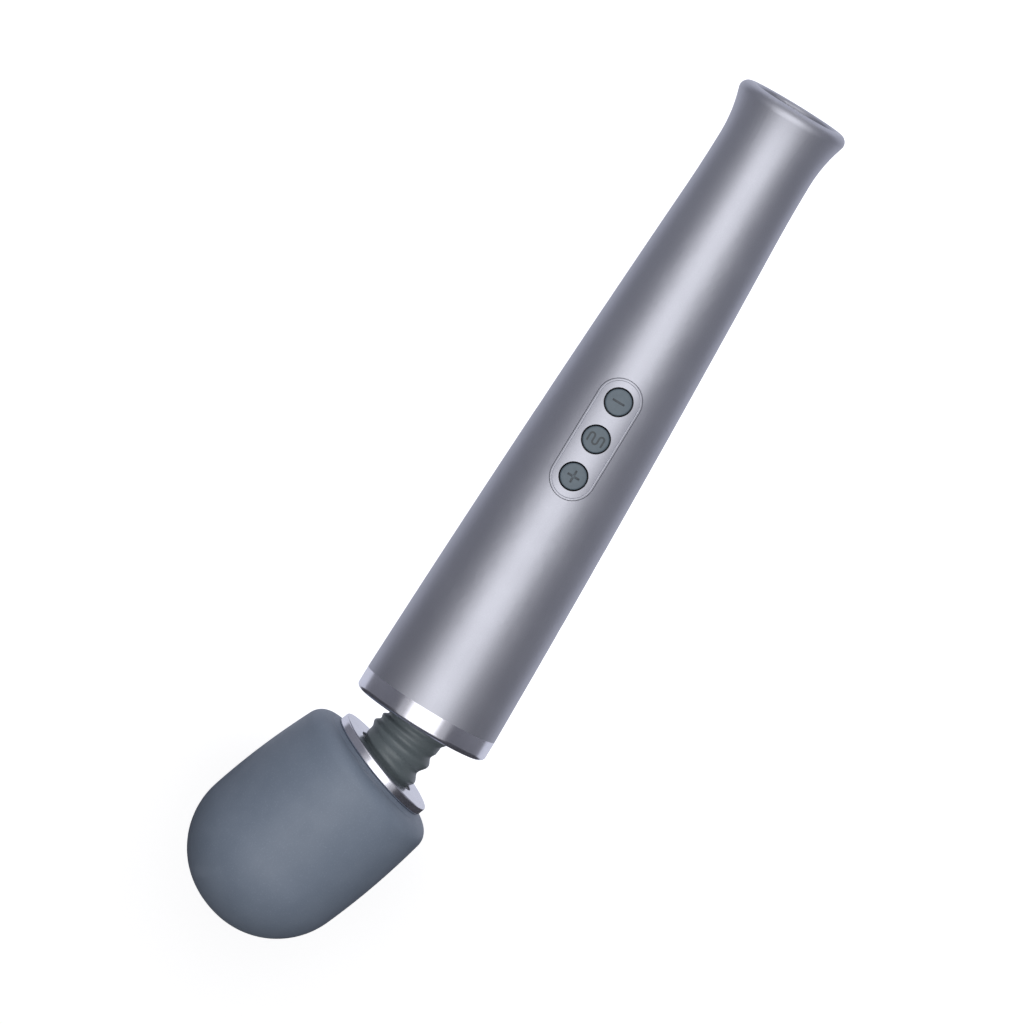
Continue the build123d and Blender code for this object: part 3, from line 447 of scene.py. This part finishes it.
for index, (start, end) in enumerate(neck_lengths):
    steps = round((end - start) / boot_step)
    distances = [start + (end - start) * step / steps for step in range(steps + 1)]
    turns = [2 * pi * side / boot_sides for side in range(boot_sides)]
    outer = [[neck_point(d, turn, *boot_section(d)) for turn in turns] for d in distances]
    inner_distances = distances[::boot_inner_skip] + [end]
    inner = [[neck_point(d, turn, boot_inner_r) for turn in turns] for d in inner_distances]
    body = skin_over(f"boot_{index}", outer + inner[::-1], looped=True)
    boot = joined(f"neck_boot_{index + 1}", [body], materials["neck_silicone"])
    bent(boot, index, "neck_boot")

lead_r = 0.75 * mm
lead_spread = 1.6 * mm
spring_r = 7.6 * mm
spring_wire_r = 0.85 * mm
spring_turns = 4
spring_start = 2.15 * mm        # the coil starts on the handle's spigot
wire_sides = 14
lead_steps = 24                 # along each length of a lead
spring_step = 0.12 * mm
lead_end = 0.3 * mm             # the leads stop this far inside the neck's ends


def wire_rings(route, radius):
    """Rings around a route of points, square to it."""
    rings = []
    for index, point in enumerate(route):
        along = (route[min(index + 1, len(route) - 1)] - route[max(index - 1, 0)]).normalized()
        across = along.cross(upward if abs(along.dot(upward)) < 0.9 else forward).normalized()
        other = along.cross(across)
        rings.append([point + (across * cos(2 * pi * side / wire_sides)
                               + other * sin(2 * pi * side / wire_sides)) * radius
                      for side in range(wire_sides)])
    return rings


def coil_point(distance):
    """A point of the spring's wire."""
    share = (distance - spring_start) / (neck_length - 2 * spring_start)
    return neck_point(distance, 2 * pi * spring_turns * share, spring_r)


for index, (start, end) in enumerate(neck_lengths):
    from_d, to_d = max(start, lead_end), min(end, neck_length - lead_end)
    places = [from_d + (to_d - from_d) * step / lead_steps for step in range(lead_steps + 1)]
    routes = [[neck_point(d, side * pi / 2, lead_spread) for d in places] for side in (-1, 1)]
    leads = [skin_over("lead", wire_rings(route, lead_r)) for route in routes]
    bent(joined(f"neck_leads_{index + 1}", leads, materials["wire_insulation"]),
         index, "neck_leads")
    from_d, to_d = max(start, spring_start), min(end, neck_length - spring_start)
    count = round((to_d - from_d) / spring_step)
    coil = [coil_point(from_d + (to_d - from_d) * step / count) for step in range(count + 1)]
    spring = skin_over("spring", wire_rings(coil, spring_wire_r))
    bent(joined(f"neck_spring_{index + 1}", [spring], materials["spring_steel"]),
         index, "neck_spring")

# ---- Wave sign, painted on the middle button -------------------------------------------------
sign_pitch = 1.75 * mm          # between the wave's strokes
sign_reach = 1.65 * mm          # half the length of a stroke
sign_width = 0.62 * mm
sign_strokes = 4
sign_above = 0.012 * mm         # the paint stands this far above the rubber
sign_below = 0.08 * mm
sign_step = 0.15 * mm
sign_turn_steps = 16
mode_button = frame["nodes"]["button_mode"]
to_button = mode_button.matrix_world.inverted()
mode_low, mode_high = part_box("button_mode")
mode_middle = (mode_low + mode_high) / 2


def on_button(x, y):
    """The point of the button's crown over a place beside its middle."""
    above = Vector((mode_middle.x + x, mode_middle.y + y, mode_high.z + 5 * mm))
    down = to_button.to_3x3() @ Vector((0, 0, -1))
    return mode_button.matrix_world @ mode_button.ray_cast(to_button @ above, down)[1]


def wave_route():
    """Strokes along the handle, joined by round turns."""
    turn_r = sign_pitch / 2
    bend_x = sign_reach - turn_r
    route = []
    for stroke in range(sign_strokes):
        way = -1 if stroke % 2 == 0 else 1
        y = (stroke - (sign_strokes - 1) / 2) * sign_pitch
        from_x = -way * (sign_reach if stroke == 0 else bend_x)
        to_x = way * (sign_reach if stroke == sign_strokes - 1 else bend_x)
        count = round(abs(to_x - from_x) / sign_step)
        route += [(from_x + (to_x - from_x) * step / count, y) for step in range(count + 1)]
        if stroke < sign_strokes - 1:
            turns = [pi * step / sign_turn_steps - pi / 2 for step in range(1, sign_turn_steps)]
            route += [(to_x + way * turn_r * cos(turn), y + turn_r * (1 + sin(turn)))
                      for turn in turns]
    return [Vector(place) for place in route]


def sign_rings(route):
    """Flat rings across the wave's line, from just above the rubber to just below it."""
    rings = []
    for index, place in enumerate(route):
        along = route[min(index + 1, len(route) - 1)] - route[max(index - 1, 0)]
        side = Vector((-along.y, along.x)).normalized() * sign_width / 2
        left, right = on_button(*(place + side)), on_button(*(place - side))
        above, below = Vector((0, 0, sign_above)), Vector((0, 0, -sign_below))
        rings.append([left + above, right + above, right + below, left + below])
    return rings


sign_paint = Finish("sign_paint", 0.42)
sign_paint.tones(sign_paint.noise(0.3 * mm, 3), (0.040, 0.052, 0.060), (0.052, 0.066, 0.075))
sign_paint.raised(sign_paint.noise(0.1 * mm, 2), 0.001 * mm)
wave_sign = joined("wave_sign", [skin_over("wave", sign_rings(wave_route()))], sign_paint.made())
wave_sign.data.shade_flat()
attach(wave_sign, "button_mode")

# ---- Floor, dark cards beside the handle, soft lights and world ------------------------------
floor_z = -80 * mm
floor_reach = 3.0
floor_glow = 0.78
card_y = 0.285                  # dark cards stand this far to each side of the handle
card_top = 0.31
middle = Vector((0.158, -0.0105, 0.0))


def plane(name, corners, material):
    """A flat stage piece between four corners."""
    mesh = bpy.data.meshes.new(name)
    mesh.from_pydata(corners, [], [(0, 1, 2, 3)])
    piece = bpy.data.objects.new(name, mesh)
    scene.collection.objects.link(piece)
    mesh.materials.append(material)
    return piece


paper = Finish("pale_paper", 0.8)
paper.tones(paper.noise(60 * mm, 3), (0.60, 0.60, 0.60), (0.62, 0.62, 0.62))
paper.raised(paper.noise(1.5 * mm, 3), 0.01 * mm)
paper.shader.inputs["Emission Color"].default_value = (1, 1, 1, 1)
paper.shader.inputs["Emission Strength"].default_value = floor_glow
plane("floor", [(-floor_reach, -floor_reach, floor_z), (floor_reach, -floor_reach, floor_z),
                (floor_reach, floor_reach, floor_z), (-floor_reach, floor_reach, floor_z)],
      paper.made())


def card(name, corners, radiance):
    """A plain card beside or under the object that only its reflections and shading see."""
    felt = Finish(name, 0.9)
    felt.tones(felt.noise(5 * mm, 2), (0.035, 0.035, 0.045), (0.045, 0.045, 0.055))
    felt.shader.inputs["Emission Color"].default_value = (0.84, 0.87, 1.0, 1)
    felt.shader.inputs["Emission Strength"].default_value = radiance
    piece = plane(name, corners, felt.made())
    piece.visible_camera = False
    piece.visible_shadow = False


def level(x0, x1, y0, y1, z):
    """Corners of a level rectangle."""
    return [(x0, y0, z), (x1, y0, z), (x1, y1, z), (x0, y1, z)]


def upright(start, end, z0, z1):
    """Corners of an upright rectangle over a line on the floor."""
    return [(*start, z0), (*end, z0), (*end, z1), (*start, z1)]


card_rear, card_front = -0.5, 0.56
low_z = floor_z + 12 * mm
head_x = 0.262                  # the darker cards around the head start here
under_y = 0.135                 # half the width of the pale card under the handle
handle_glow, low_glow, under_handle_glow = 0.22, 0.18, 0.72
head_glow, front_glow, under_head_glow = 0.04, 0.05, 0.02
for side, y in (("left", -card_y), ("right", card_y)):
    beside_handle = upright((card_rear, y), (head_x, y), floor_z, card_top)
    beside_head = upright((head_x, y), (card_front, y), floor_z, card_top)
    card(f"card_{side}", beside_handle, handle_glow)
    card(f"card_head_{side}", beside_head, head_glow)
    low_y = sorted((y, under_y if y > 0 else -under_y))
    card(f"card_low_{side}", level(card_rear, head_x, *low_y, low_z), low_glow)
ahead = upright((card_front, -card_y), (card_front, card_y), floor_z, card_top)
card("card_front", ahead, front_glow)
card("card_under_handle", level(card_rear, head_x, -under_y, under_y, low_z), under_handle_glow)
card("card_under_head", level(head_x, card_front, -card_y, card_y, low_z), under_head_glow)


def placed(thing, point, axes):
    """Puts a lamp or a camera at a point, with its own x, y and z along three axes."""
    thing.matrix_world = Matrix.Translation(point) @ Matrix(axes).transposed().to_4x4()


# One soft light hangs over the handle and lies along it.
key_height = 1.3
key_length, key_width = 2.2, 1.3
key_radiance = 1.3
key_light = bpy.data.lights.new("key", "AREA")
key_light.shape = "RECTANGLE"
key_light.size, key_light.size_y = key_length, key_width
key_light.energy = key_radiance * pi * key_width * key_length
key = bpy.data.objects.new("key", key_light)
scene.collection.objects.link(key)
placed(key, middle + Vector((0, 0, key_height)), ((1, 0, 0), (0, 1, 0), (0, 0, 1)))
key.visible_camera = False

world_strength = 0.50
world = bpy.data.worlds.new("studio")
scene.world = world
world.use_nodes = True
sky = world.node_tree.nodes["Background"].inputs
sky["Color"].default_value = (0.93, 0.94, 1.0, 1)
sky["Strength"].default_value = world_strength

# ---- Camera ---------------------------------------------------------------------------------
lean, tip = radians(4.7), radians(1.8)
in_view = (-0.5218, -0.8531)    # the handle's direction in the view, to the right and up
back = Vector((-sin(lean) * cos(tip), -sin(tip), cos(lean) * cos(tip)))
along = (forward - back * forward.dot(back)).normalized()
across = back.cross(along)
right = along * in_view[0] - across * in_view[1]
up = along * in_view[1] + across * in_view[0]
distance = 6.3
field = 0.340                   # width of the view at the handle
camera_data = bpy.data.cameras.new("camera")
camera_data.lens = camera_data.sensor_width * distance / field
camera_data.clip_end = 40
camera = bpy.data.objects.new("camera", camera_data)
scene.collection.objects.link(camera)
placed(camera, middle + back * distance, (right, up, back))
scene.camera = camera
